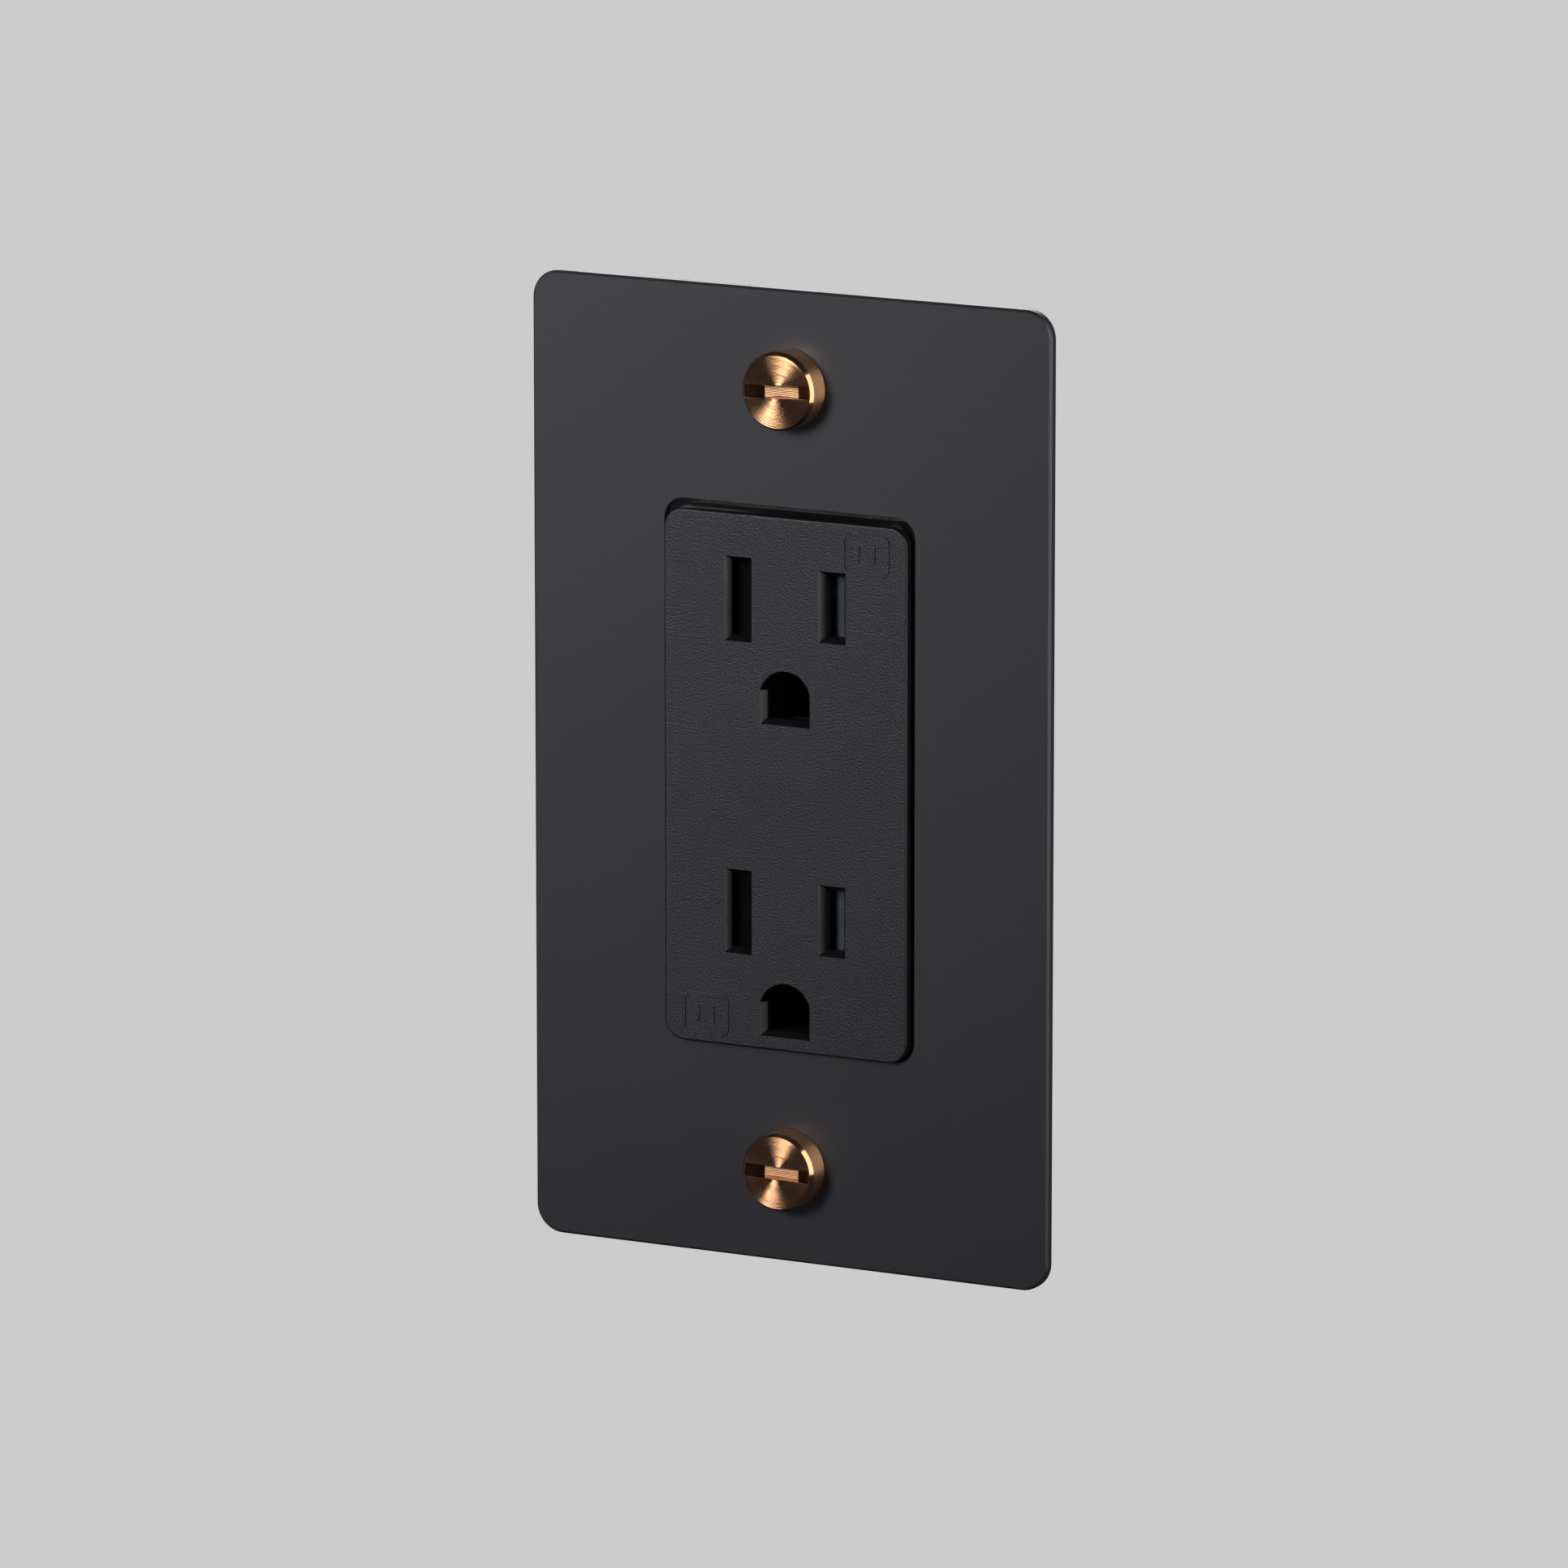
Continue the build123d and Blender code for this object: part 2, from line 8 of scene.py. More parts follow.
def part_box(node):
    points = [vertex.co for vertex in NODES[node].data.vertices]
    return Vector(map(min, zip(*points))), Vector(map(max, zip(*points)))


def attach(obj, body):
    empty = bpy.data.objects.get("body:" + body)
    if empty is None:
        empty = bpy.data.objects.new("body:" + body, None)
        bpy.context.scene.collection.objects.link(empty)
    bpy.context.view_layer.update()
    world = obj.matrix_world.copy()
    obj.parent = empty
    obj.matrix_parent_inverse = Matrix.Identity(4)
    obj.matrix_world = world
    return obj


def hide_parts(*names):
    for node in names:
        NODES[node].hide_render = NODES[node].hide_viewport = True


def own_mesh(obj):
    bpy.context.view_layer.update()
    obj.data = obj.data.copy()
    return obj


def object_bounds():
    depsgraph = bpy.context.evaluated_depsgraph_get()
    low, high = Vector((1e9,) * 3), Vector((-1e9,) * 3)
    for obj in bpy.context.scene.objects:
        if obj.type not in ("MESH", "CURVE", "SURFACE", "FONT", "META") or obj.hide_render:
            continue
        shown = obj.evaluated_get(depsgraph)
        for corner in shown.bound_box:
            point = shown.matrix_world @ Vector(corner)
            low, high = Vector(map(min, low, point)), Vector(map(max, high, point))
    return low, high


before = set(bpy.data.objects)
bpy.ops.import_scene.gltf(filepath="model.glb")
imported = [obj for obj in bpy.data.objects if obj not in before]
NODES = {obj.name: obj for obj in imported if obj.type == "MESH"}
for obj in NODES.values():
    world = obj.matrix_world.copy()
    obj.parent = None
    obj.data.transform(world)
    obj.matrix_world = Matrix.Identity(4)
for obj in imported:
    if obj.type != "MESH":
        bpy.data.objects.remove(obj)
CAD_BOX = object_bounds()
MM = 0.001

# --- driving values, in millimetres unless said otherwise ---
CAMERA_AT = (628.0, -1263.3, 303.5)
CAMERA_YAW = 26.58           # degrees, to the right of the object's own axis
CAMERA_PITCH = 12.21         # degrees, looking down
CAMERA_LENS = 271.8          # for a 36 mm wide sensor
FLOOR_DROP = 300.0           # the outlet hangs this far above the floor
FLOOR_REACH = 60             # metres, each way
PALE = 0.600                 # linear brightness of the backdrop
ROOM_COLOUR = (0.85, 0.85, 1.15, 1)
ROOM_STRENGTH = 0.03

THREAD_PITCH = 0.794         # 32 threads to the inch
THREAD_DEPTH = 0.36
THREAD_FLAT = 0.18           # share of the pitch that is flat, at crests and again at roots
THREAD_TIP_INSET = 0.25      # how much narrower than the root the very tip is

COIN_R = 4.85
COIN_BEVEL_R = 0.36
COIN_BEVEL_H = 0.50
COIN_SLOT_W = 1.6
COIN_SLOT_HALF_L = 4.3
COIN_SLOT_DEPTH = 1.4
COIN_SLOT_RISE = 2.05        # length of the ramp at each end of the slot
COIN_SLOT_TURN = {"top": 2.5, "bottom": -1.0}
COIN_SLOT_CLEAR = 2.0        # how far the slot's cutter stands out of the face
COIN_NECK_R = 1.62           # where the shank meets the head
COIN_NECK_H = 0.35
COIN_SHANK_R = 1.4
COIN_SHANK_H = 1.6           # length of the plain shank under the head
COIN_THREAD_START = 1.2      # below the head
COIN_THREAD_R = 1.7
COIN_SEAT_GAP = 0.02         # between a coin head and the plate
COIN_EDGE_BREAK = 0.12       # at the back of a coin head
COIN_SMOOTH_ANGLE = 12       # degrees; keeps the bevel crisp

DOME_CORNER_R = 0.9          # of a pan head's rounded top edge, at most
DOME_STEPS = 8
RIM_BREAK = 0.08             # at the back of a pan head
BOX_HEAD_H = 1.6
BOX_HEAD_R = 3.45
BOX_THREAD_R = 1.7
TERMINAL_HEAD_H = 2.0
TERMINAL_HEAD_R = 4.0
TERMINAL_THREAD_R = 2.0
EARTH_HEAD_H = 2.4
EARTH_HEAD_R = 4.4           # across the hexagon's corners, halved
EARTH_WASHER_R = 4.6
EARTH_WASHER_H = 0.6
EARTH_NECK_R = 1.8
EARTH_NECK_H = 1.0
EARTH_SLOT_W = 1.1
EARTH_SLOT_FLOOR = 1.4       # from the seat
EARTH_THREAD_R = 2.0

SPRING_WIRE_R = 0.11
SPRING_CLEAR = 0.01          # between the coil and the CAD spring's outside
SPRING_TURNS = 6.0
SPRING_CLOSED = 0.75         # turns that lie flat at each end
SPRING_SMOOTH_ANGLE = 60     # degrees

ROUND = 160                  # facets round a coin screw's head
ROUND_SMALL = 96             # facets round the other screws' heads
CREASE_ANGLE = 32            # degrees; edges sharper than this stay sharp
BEVEL_ANGLE = 35             # degrees; edges sharper than this are broken
EDGE_BREAK = 0.03            # bevel on a coin head's sharp edges
HEAD_EDGE_BREAK = 0.05       # and on the pan heads'
HEXAGON_EDGE_BREAK = 0.06


# --- small mesh helpers ---
def new_object(name, mesh):
    made = bpy.data.objects.new(name, mesh)
    bpy.context.scene.collection.objects.link(made)
    return made


def mesh_from(name, points, faces, scale=MM):
    mesh = bpy.data.meshes.new(name)
    mesh.from_pydata([Vector(p) * scale for p in points], [], faces)
    mesh.validate()
    return new_object(name, mesh)


def place(made, matrix):
    """Moves the mesh itself, so that its object stays at the origin."""
    made.data.transform(matrix)


def smooth_by_angle(made, degrees=CREASE_ANGLE):
    edit = bmesh.new()
    edit.from_mesh(made.data)
    bmesh.ops.recalc_face_normals(edit, faces=edit.faces)
    for face in edit.faces:
        face.smooth = True
    for edge in edit.edges:
        edge.smooth = len(edge.link_faces) == 2 and edge.calc_face_angle(0) < math.radians(degrees)
    edit.to_mesh(made.data)
    edit.free()


def bake_modifiers(made):
    graph = bpy.context.evaluated_depsgraph_get()
    baked = bpy.data.meshes.new_from_object(made.evaluated_get(graph))
    made.modifiers.clear()
    made.data = baked


def join(name, *parts):
    """One object from several, keeping each one's materials."""
    whole = bmesh.new()
    materials = []
    for part in parts:
        offset = {}
        for index, material in enumerate(part.data.materials):
            if material not in materials:
                materials.append(material)
            offset[index] = materials.index(material)
        first = len(whole.faces)
        whole.from_mesh(part.data)
        whole.faces.ensure_lookup_table()
        for face in whole.faces[first:]:
            face.material_index = offset.get(face.material_index, 0)
    mesh = bpy.data.meshes.new(name)
    whole.to_mesh(mesh)
    whole.free()
    for material in materials:
        mesh.materials.append(material)
    for part in parts:
        bpy.data.objects.remove(part)
    return new_object(name, mesh)


def lathe(name, profile, around=ROUND):
    """Solid of revolution about Y from (radius, y) pairs that start and end on the axis."""
    points = []
    rings = []
    for radius, y in profile:
        if radius == 0:
            rings.append([len(points)])
            points.append((0, y, 0))
            continue
        rings.append(list(range(len(points), len(points) + around)))
        for step in range(around):
            turn = 2 * math.pi * step / around
            points.append((radius * math.sin(turn), y, radius * math.cos(turn)))
    faces = []
    for low, high in zip(rings, rings[1:]):
        for step in range(around):
            after = (step + 1) % around
            if len(low) == 1:
                faces.append((low[0], high[step], high[after]))
            elif len(high) == 1:
                faces.append((low[step], low[after], high[0]))
            else:
                faces.append((low[step], low[after], high[after], high[step]))
    return mesh_from(name, points, faces)


def thread(name, radius, y_start, y_end, around=48, rows_per_turn=10):
    """Screw thread along Y: a rod whose radius follows the helix, coned at its end. Crests and roots are
    flat, with straight flanks between them."""
    rows = int((y_end - y_start) / THREAD_PITCH * rows_per_turn)
    root = radius - THREAD_DEPTH
    points = []
    for row in range(rows + 1):
        y = y_start + (y_end - y_start) * row / rows
        for step in range(around):
            phase = (y / THREAD_PITCH - step / around) % 1.0
            flank = (1 - THREAD_FLAT - abs(2 * phase - 1)) / (1 - 2 * THREAD_FLAT)
            height = min(1.0, max(0.0, flank))
            run_in = min(1.0, (y - y_start) / THREAD_PITCH)
            cone = root - THREAD_TIP_INSET + (y_end - y)
            reach = min(root + THREAD_DEPTH * height * run_in, cone)
            turn = 2 * math.pi * step / around
            points.append((reach * math.sin(turn), y, reach * math.cos(turn)))
    faces = []
    for row in range(rows):
        for step in range(around):
            after = (step + 1) % around
            low, high = row * around, (row + 1) * around
            faces.append((low + step, low + after, high + after, high + step))
    faces.append(tuple(range(around)))
    faces.append(tuple(reversed(range(rows * around, (rows + 1) * around))))
    return mesh_from(name, points, faces)


def block(name, low, high):
    points = [(x, y, z) for x in (low[0], high[0]) for y in (low[1], high[1]) for z in (low[2], high[2])]
    faces = [(0, 1, 3, 2), (4, 6, 7, 5), (0, 4, 5, 1), (2, 3, 7, 6), (0, 2, 6, 4), (1, 5, 7, 3)]
    return mesh_from(name, points, faces)


def cut(made, cutters, bevel=EDGE_BREAK):
    """Cuts the cutters out, then bevels the sharp edges by that much."""
    for cutter in cutters:
        step = made.modifiers.new("cut", "BOOLEAN")
        step.operation = "DIFFERENCE"
        step.solver = "EXACT"
        step.material_mode = "TRANSFER"
        step.object = cutter
    bpy.context.view_layer.update()
    bake_modifiers(made)
    for cutter in cutters:
        bpy.data.objects.remove(cutter)
    edge = made.modifiers.new("edge", "BEVEL")
    edge.width = bevel * MM
    edge.segments = 2
    edge.limit_method = "ANGLE"
    edge.angle_limit = math.radians(BEVEL_ANGLE)
    bpy.context.view_layer.update()
    bake_modifiers(made)


# --- material helper ---
GRAIN_LOW, GRAIN_HIGH = 0.3, 0.7    # the range that noise usually covers


class Paint:
    """A Principled material, with short calls that wire its nodes."""

    def __init__(self, name, **sockets):
        self.material = bpy.data.materials.new(name)
        self.material.use_nodes = True
        self.tree = self.material.node_tree
        self.shader = self.tree.nodes["Principled BSDF"]
        for socket, value in sockets.items():
            self.shader.inputs[socket.replace("_", " ")].default_value = value

    def add(self, kind, **settings):
        node = self.tree.nodes.new(kind)
        for name, value in settings.items():
            if name in node.inputs:
                node.inputs[name].default_value = value
            else:
                setattr(node, name, value)
        return node

    def link(self, source, target):
        self.tree.links.new(source, target)

    def grain(self, scale, stretch=(1, 1, 1), detail=3.0, roughness=0.5):
        """Noise in the object's own coordinates. scale is in cycles per metre."""
        coordinate = self.add("ShaderNodeTexCoord")
        squeeze = self.add("ShaderNodeMapping")
        squeeze.inputs["Scale"].default_value = stretch
        noise = self.add("ShaderNodeTexNoise", Scale=scale, Detail=detail, Roughness=roughness)
        self.link(coordinate.outputs["Object"], squeeze.inputs["Vector"])
        self.link(squeeze.outputs["Vector"], noise.inputs["Vector"])
        return noise.outputs["Fac"]

    def span(self, source, low, high):
        """The source's usual range, mapped to low..high."""
        node = self.add("ShaderNodeMapRange")
        node.inputs["From Min"].default_value = GRAIN_LOW
        node.inputs["From Max"].default_value = GRAIN_HIGH
        node.inputs["To Min"].default_value = low
        node.inputs["To Max"].default_value = high
        self.link(source, node.inputs["Value"])
        return node.outputs["Result"]

    def colours(self, source, low, high):
        ramp = self.add("ShaderNodeValToRGB")
        ramp.color_ramp.elements[0].position = GRAIN_LOW
        ramp.color_ramp.elements[1].position = GRAIN_HIGH
        ramp.color_ramp.elements[0].color = (*low, 1)
        ramp.color_ramp.elements[1].color = (*high, 1)
        self.link(source, ramp.inputs["Fac"])
        self.link(ramp.outputs["Color"], self.shader.inputs["Base Color"])

    def rough(self, source, low, high):
        self.link(self.span(source, low, high), self.shader.inputs["Roughness"])

    def bump(self, source, distance, strength=1.0):
        """Relief of the given depth in millimetres."""
        node = self.add("ShaderNodeBump", Strength=strength, Distance=distance * MM)
        self.link(source, node.inputs["Height"])
        self.link(node.outputs["Normal"], self.shader.inputs["Normal"])


# --- materials ---
def plate_black():
    """Fine horizontally grained black metal with a matte coat."""
    paint = Paint("plate_black", IOR=1.8, Specular_IOR_Level=0.8, Specular_Tint=(0.94, 0.93, 1.0, 1))
    cloud = paint.grain(25.0, detail=4.0)
    grain = paint.grain(900.0, stretch=(0.12, 1.0, 9.0), detail=4.0, roughness=0.6)
    paint.colours(cloud, (0.012, 0.012, 0.0135), (0.015, 0.015, 0.0165))
    paint.rough(grain, 0.44, 0.56)
    paint.bump(grain, 0.004, 0.5)
    return paint.material


def cover_black():
    """Moulded black plastic with a spark-eroded texture."""
    paint = Paint("cover_black", IOR=1.8, Specular_IOR_Level=0.75, Specular_Tint=(0.93, 0.92, 1.0, 1))
    cloud = paint.grain(60.0, detail=3.0)
    coarse = paint.grain(4300.0, detail=2.0, roughness=0.5)
    paint.colours(cloud, (0.006, 0.006, 0.007), (0.009, 0.009, 0.010))
    paint.rough(coarse, 0.44, 0.58)
    paint.bump(coarse, 0.075, 1.0)
    return paint.material


def plastic(name, dark, light, low_rough, high_rough, relief=0.01, **sockets):
    paint = Paint(name, **sockets)
    cloud = paint.grain(180.0, detail=4.0)
    fine = paint.grain(2600.0, detail=3.0)
    paint.colours(cloud, dark, light)
    paint.rough(cloud, low_rough, high_rough)
    paint.bump(fine, relief, 0.4)
    return paint.material


def metal(name, dark, light, low_rough, high_rough, stretch=(1, 1, 1), relief=0.004):
    """Metal with faint tarnish and fine marks that run along the stretched axis."""
    paint = Paint(name, Metallic=1.0)
    tarnish = paint.grain(220.0, detail=5.0, roughness=0.6)
    marks = paint.grain(2500.0, stretch=stretch, detail=3.0)
    paint.colours(tarnish, dark, light)
    paint.rough(marks, low_rough, high_rough)
    paint.bump(marks, relief, 0.5)
    return paint.material


COPPER_DARK = (0.62, 0.325, 0.165)
COPPER_LIGHT = (0.71, 0.39, 0.205)
SIDE_DARK = (0.84, 0.45, 0.23)
SIDE_LIGHT = (0.92, 0.52, 0.28)
SLOT_DARK = (0.50, 0.29, 0.16)
SLOT_LIGHT = (0.58, 0.35, 0.20)
MARK_SHALLOWEST = 0.70       # share of their full depth that the shallowest tool marks have


def tool_marks(paint, axes, pitch, slope):
    """Fine parallel ridges, at most slope steep. axes says what they are spaced along: "XZ" for rings
    about Y, or one letter for straight ones. pitch is in millimetres."""
    coordinate = paint.add("ShaderNodeTexCoord")
    split = paint.add("ShaderNodeSeparateXYZ")
    paint.link(coordinate.outputs["Object"], split.inputs["Vector"])
    flat = paint.add("ShaderNodeCombineXYZ")
    for axis in axes:
        paint.link(split.outputs[axis], flat.inputs[axis])
    away = paint.add("ShaderNodeVectorMath", operation="LENGTH")
    paint.link(flat.outputs["Vector"], away.inputs[0])
    turns = paint.add("ShaderNodeMath", operation="MULTIPLY")
    turns.inputs[1].default_value = 2 * math.pi / (pitch * MM)
    paint.link(away.outputs["Value"], turns.inputs[0])
    wave = paint.add("ShaderNodeMath", operation="SINE")
    paint.link(turns.outputs["Value"], wave.inputs[0])
    uneven = paint.add("ShaderNodeTexNoise", noise_dimensions="1D", Scale=0.35, Detail=2.0)
    paint.link(turns.outputs["Value"], uneven.inputs["W"])
    depth = paint.span(uneven.outputs["Fac"], MARK_SHALLOWEST, 1.0)
    ridges = paint.add("ShaderNodeMath", operation="MULTIPLY")
    paint.link(wave.outputs["Value"], ridges.inputs[0])
    paint.link(depth, ridges.inputs[1])
    paint.bump(ridges.outputs["Value"], slope * pitch / (2 * math.pi))


def worked_copper(name, dark, light, low_rough, high_rough, axes, pitch, slope):
    """Copper with a cutting tool's marks."""
    paint = Paint(name, Metallic=1.0)
    tarnish = paint.grain(1800.0, detail=4.0, roughness=0.6)
    paint.colours(tarnish, dark, light)
    paint.rough(tarnish, low_rough, high_rough)
    tool_marks(paint, axes, pitch, slope)
    return paint.material


M = {
    "plate_black": plate_black(),
    "cover_black": cover_black(),
    # Cover sides and slot lead-ins: a darker, duller black, painted shade.
    "cover_painted_shade": plastic(
        "cover_painted_shade_black", (0.005, 0.005, 0.006), (0.008, 0.008, 0.009), 0.38, 0.44,
        IOR=1.8, Specular_IOR_Level=0.5,
    ),
    "copper_face": worked_copper(
        "copper_turned_face", COPPER_DARK, COPPER_LIGHT, 0.13, 0.18, axes="XZ", pitch=0.13, slope=0.50,
    ),
    "copper_side": worked_copper(
        "copper_satin_side", SIDE_DARK, SIDE_LIGHT, 0.28, 0.36, axes="Y", pitch=0.12, slope=1.10,
    ),
    "copper_slot": worked_copper(
        "copper_milled_slot", SLOT_DARK, SLOT_LIGHT, 0.15, 0.20, axes="Z", pitch=0.16, slope=0.40,
    ),
    # The slot's ramped ends: copper painted much darker, as painted shade in the ends of the slot.
    "copper_slot_end_painted_shade": metal("copper_slot_end_painted_shade", (0.16, 0.075, 0.035), (0.26, 0.125, 0.06), 0.30, 0.42),
    "copper_polished": metal("copper_polished_edge", COPPER_DARK, COPPER_LIGHT, 0.10, 0.18),
    "shutter_blue": plastic("shutter_blue", (0.11, 0.125, 0.15), (0.145, 0.165, 0.19), 0.22, 0.32),
    "shutter_brown": plastic(
        "shutter_brown", (0.004, 0.004, 0.004), (0.007, 0.006, 0.006), 0.40, 0.50, Specular_IOR_Level=0.2,
    ),
    "carrier": plastic("carrier_plastic", (0.05, 0.05, 0.05), (0.07, 0.07, 0.07), 0.40, 0.55),
    "body_black": plastic(
        "body_black", (0.018, 0.018, 0.020), (0.0225, 0.0225, 0.025), 0.40, 0.48, relief=0.03,
    ),
    "zinc": metal(
        "zinc_steel", (0.42, 0.44, 0.47), (0.58, 0.59, 0.60), 0.28, 0.46,
        stretch=(1, 1, 0.15), relief=0.008,
    ),
    "brass": metal(
        "contact_brass", (0.62, 0.44, 0.17), (0.76, 0.57, 0.26), 0.26, 0.38,
        stretch=(1, 1, 0.2), relief=0.0015,
    ),
    "bright_brass": metal("terminal_brass", (0.70, 0.50, 0.20), (0.82, 0.62, 0.28), 0.16, 0.30),
    "nickel": metal("terminal_nickel", (0.58, 0.57, 0.54), (0.72, 0.71, 0.68), 0.16, 0.30),
    "green": metal("earth_green", (0.010, 0.130, 0.050), (0.020, 0.200, 0.080), 0.22, 0.36),
    "spring": metal("spring_steel", (0.50, 0.50, 0.50), (0.62, 0.62, 0.62), 0.2, 0.35),
    "fibre": plastic("fibre_red", (0.16, 0.035, 0.020), (0.24, 0.055, 0.030), 0.60, 0.75, relief=0.03),
    "bronze": metal("bronze_clip", (0.50, 0.30, 0.14), (0.64, 0.41, 0.20), 0.22, 0.38),
}

CAD_FINISH = {
    "faceplate": "plate_black",
    "face_cover": "cover_black",
    "strap": "zinc",
    "back_body": "body_black",
    "hot_contact_bar": "brass",
    "neutral_contact_bar": "brass",
    "earth_bus": "brass",
    "earth_bus_rivets": "zinc",
    "assembly_screws": "zinc",
    "screw_retainer": "fibre",
    "self_earthing_clip": "bronze",
}
for end in ("top", "bottom"):
    CAD_FINISH[f"shutter_carrier_{end}"] = "carrier"
    CAD_FINISH[f"hot_shutter_{end}"] = "shutter_blue"
    CAD_FINISH[f"neutral_shutter_{end}"] = "shutter_brown"

for node, finish in CAD_FINISH.items():
    NODES[node].data.materials.clear()
    NODES[node].data.materials.append(M[finish])


# Only the cover's front is textured; its sides and the slots' lead-ins are smooth, and also painted darker
# and less shiny: painted shade for the gap round the cover and for the lead-ins.
FRONT_NORMAL = -0.9          # a face that looks further forward than this belongs to the front
NODES["face_cover"].data.materials.append(M["cover_painted_shade"])
for polygon in NODES["face_cover"].data.polygons:
    polygon.material_index = int(polygon.normal.y > FRONT_NORMAL)


# --- screws ---
def coat(made, name):
    made.data.materials.clear()
    made.data.materials.append(M[name])
    return made


RAMP_NORMAL = 0.2            # a face of the slot that leans further than this is a ramp


def slot_cutter(face):
    """Prism along Z for the coin slot: a flat floor with a ramp at each end."""
    flat = COIN_SLOT_HALF_L - COIN_SLOT_RISE
    wide = COIN_SLOT_HALF_L + COIN_SLOT_RISE * COIN_SLOT_CLEAR / COIN_SLOT_DEPTH
    bottom, top = face + COIN_SLOT_DEPTH, face - COIN_SLOT_CLEAR
    outline = [(flat, bottom), (wide, top), (-wide, top), (-flat, bottom)]
    count = len(outline)
    points = [(x, y, z) for z in (-COIN_SLOT_W / 2, COIN_SLOT_W / 2) for x, y in outline]
    faces = [tuple(range(count)), tuple(reversed(range(count, 2 * count)))]
    for step in range(count):
        after = (step + 1) % count
        faces.append((step, count + step, count + after, after))
    return mesh_from("slot_cutter", points, faces)


def coin_screw(place_name):
    """Coin-head plate screw: turned face, polished bevel, satin side, slot with ramped ends in much darker
    copper as painted shade, and thread.
    """
    node = f"coin_screw_{place_name}"
    low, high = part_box(node)
    centre_z = (low.z + high.z) / 2
    face, tip = low.y / MM, high.y / MM
    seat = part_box("faceplate")[0].y / MM - COIN_SEAT_GAP
    shank_end = seat + COIN_SHANK_H
    edge = COIN_R - COIN_BEVEL_R
    profile = [
        (0, face), (edge * 0.5, face), (edge, face), (COIN_R, face + COIN_BEVEL_H),
        (COIN_R, seat - COIN_EDGE_BREAK), (COIN_R - COIN_EDGE_BREAK, seat), (COIN_NECK_R, seat),
        (COIN_SHANK_R, seat + COIN_NECK_H), (COIN_SHANK_R, shank_end), (0, shank_end),
    ]
    head = lathe(node + "_head", profile)
    for name in ("copper_face", "copper_polished", "copper_side", "copper_slot", "copper_slot_end_painted_shade"):
        head.data.materials.append(M[name])
    for polygon in head.data.polygons:
        middle_y = polygon.center.y / MM
        reach = math.hypot(polygon.center.x, polygon.center.z) / MM
        if middle_y < face + 0.001:
            polygon.material_index = 0
        elif middle_y < face + COIN_BEVEL_H and reach > edge - 0.01:
            polygon.material_index = 1
        else:
            polygon.material_index = 2
    cutter = slot_cutter(face)
    place(cutter, Matrix.Rotation(math.radians(-COIN_SLOT_TURN[place_name]), 4, "Y"))
    coat(cutter, "copper_slot")
    cutter.data.materials.append(M["copper_slot_end_painted_shade"])
    # Faces that lean like a ramp get the much darker copper: painted shade at the slot's ends.
    for polygon in cutter.data.polygons:
        polygon.material_index = int(abs(polygon.normal.x) > RAMP_NORMAL)
    cut(head, [cutter])
    # The broken edges at the slot's ends would otherwise stand a little proud of the face.
    for vertex in head.data.vertices:
        vertex.co.y = max(vertex.co.y, face * MM)
    rod = coat(thread("coin_thread", COIN_THREAD_R, seat + COIN_THREAD_START, tip), "copper_side")
    screw = join(node + "_turned", head, rod)
    smooth_by_angle(screw, COIN_SMOOTH_ANGLE)
    screw.location = (0, 0, centre_z)
    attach(screw, node)
    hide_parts(node)


def machine_screw(node, finish, along, head_profile, cutters, shank):
    """A screw built along Y with its seat at the origin, then set on its axis. shank is the thread's
    radius, start and end."""
    head = coat(lathe(node + "_head", head_profile, ROUND_SMALL), finish)
    cut(head, [coat(c, finish) for c in cutters], HEAD_EDGE_BREAK)
    rod_r, start, end = shank
    screw = join(node + "_threaded", head, coat(thread("thread", rod_r, start, end), finish))
    smooth_by_angle(screw)
    place(screw, along)
    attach(screw, node)
    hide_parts(node)


def domed_head(radius, height, neck, neck_end):
    """Profile of a pan head whose top rounds over, on a neck."""
    profile = [(0, -height)]
    corner = min(DOME_CORNER_R, height * 0.5)
    for step in range(DOME_STEPS + 1):
        turn = math.radians(90 * step / DOME_STEPS)
        y = -height + corner - corner * math.cos(turn)
        profile.append((radius - corner + corner * math.sin(turn), y))
    profile += [(radius, -RIM_BREAK), (radius - RIM_BREAK, 0), (neck, 0), (neck, neck_end), (0, neck_end)]
    return profile


def driver_slots(height, depth, width, reach, across):
    """A slot right across the head, and a shorter one crossing it."""
    top = -height - 1
    return [
        block("slot", (-across, top, -width / 2), (across, -height + depth, width / 2)),
        block("cross", (-width / 2, top, -reach), (width / 2, -height + depth, reach)),
    ]


def box_screws():
    for place_name in ("top", "bottom"):
        node = f"box_screw_{place_name}"
        low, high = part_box(node)
        seat = low.y / MM + BOX_HEAD_H
        middle = (low + high) / 2
        along = Matrix.Translation((middle.x, seat * MM, middle.z))
        machine_screw(
            node, "zinc", along,
            domed_head(BOX_HEAD_R, BOX_HEAD_H, neck=1.5, neck_end=1.6),
            driver_slots(BOX_HEAD_H, depth=0.8, width=1.0, reach=2.2, across=4.0),
            (BOX_THREAD_R, 1.2, high.y / MM - seat),
        )


def terminal_screws():
    for side, name, slot_name, finish in (
        (1, "hot", "terminal_brass", "bright_brass"),
        (-1, "neutral", "terminal_nickel", "nickel"),
    ):
        for place_name in ("top", "bottom"):
            node = f"{name}_terminal_screw_{place_name}"
            low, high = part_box(node)
            middle = (low + high) / 2
            outer, inner = (high.x, low.x) if side > 0 else (low.x, high.x)
            seat = outer - side * TERMINAL_HEAD_H * MM
            inward = Matrix.Rotation(math.radians(90 * side), 4, "Z")
            along = Matrix.Translation((seat, middle.y, middle.z)) @ inward
            machine_screw(
                node, finish, along,
                domed_head(TERMINAL_HEAD_R, TERMINAL_HEAD_H, neck=1.8, neck_end=1.0),
                driver_slots(TERMINAL_HEAD_H, depth=1.0, width=1.1, reach=2.4, across=5.0),
                (TERMINAL_THREAD_R, 0.6, abs(inner - seat) / MM),
            )


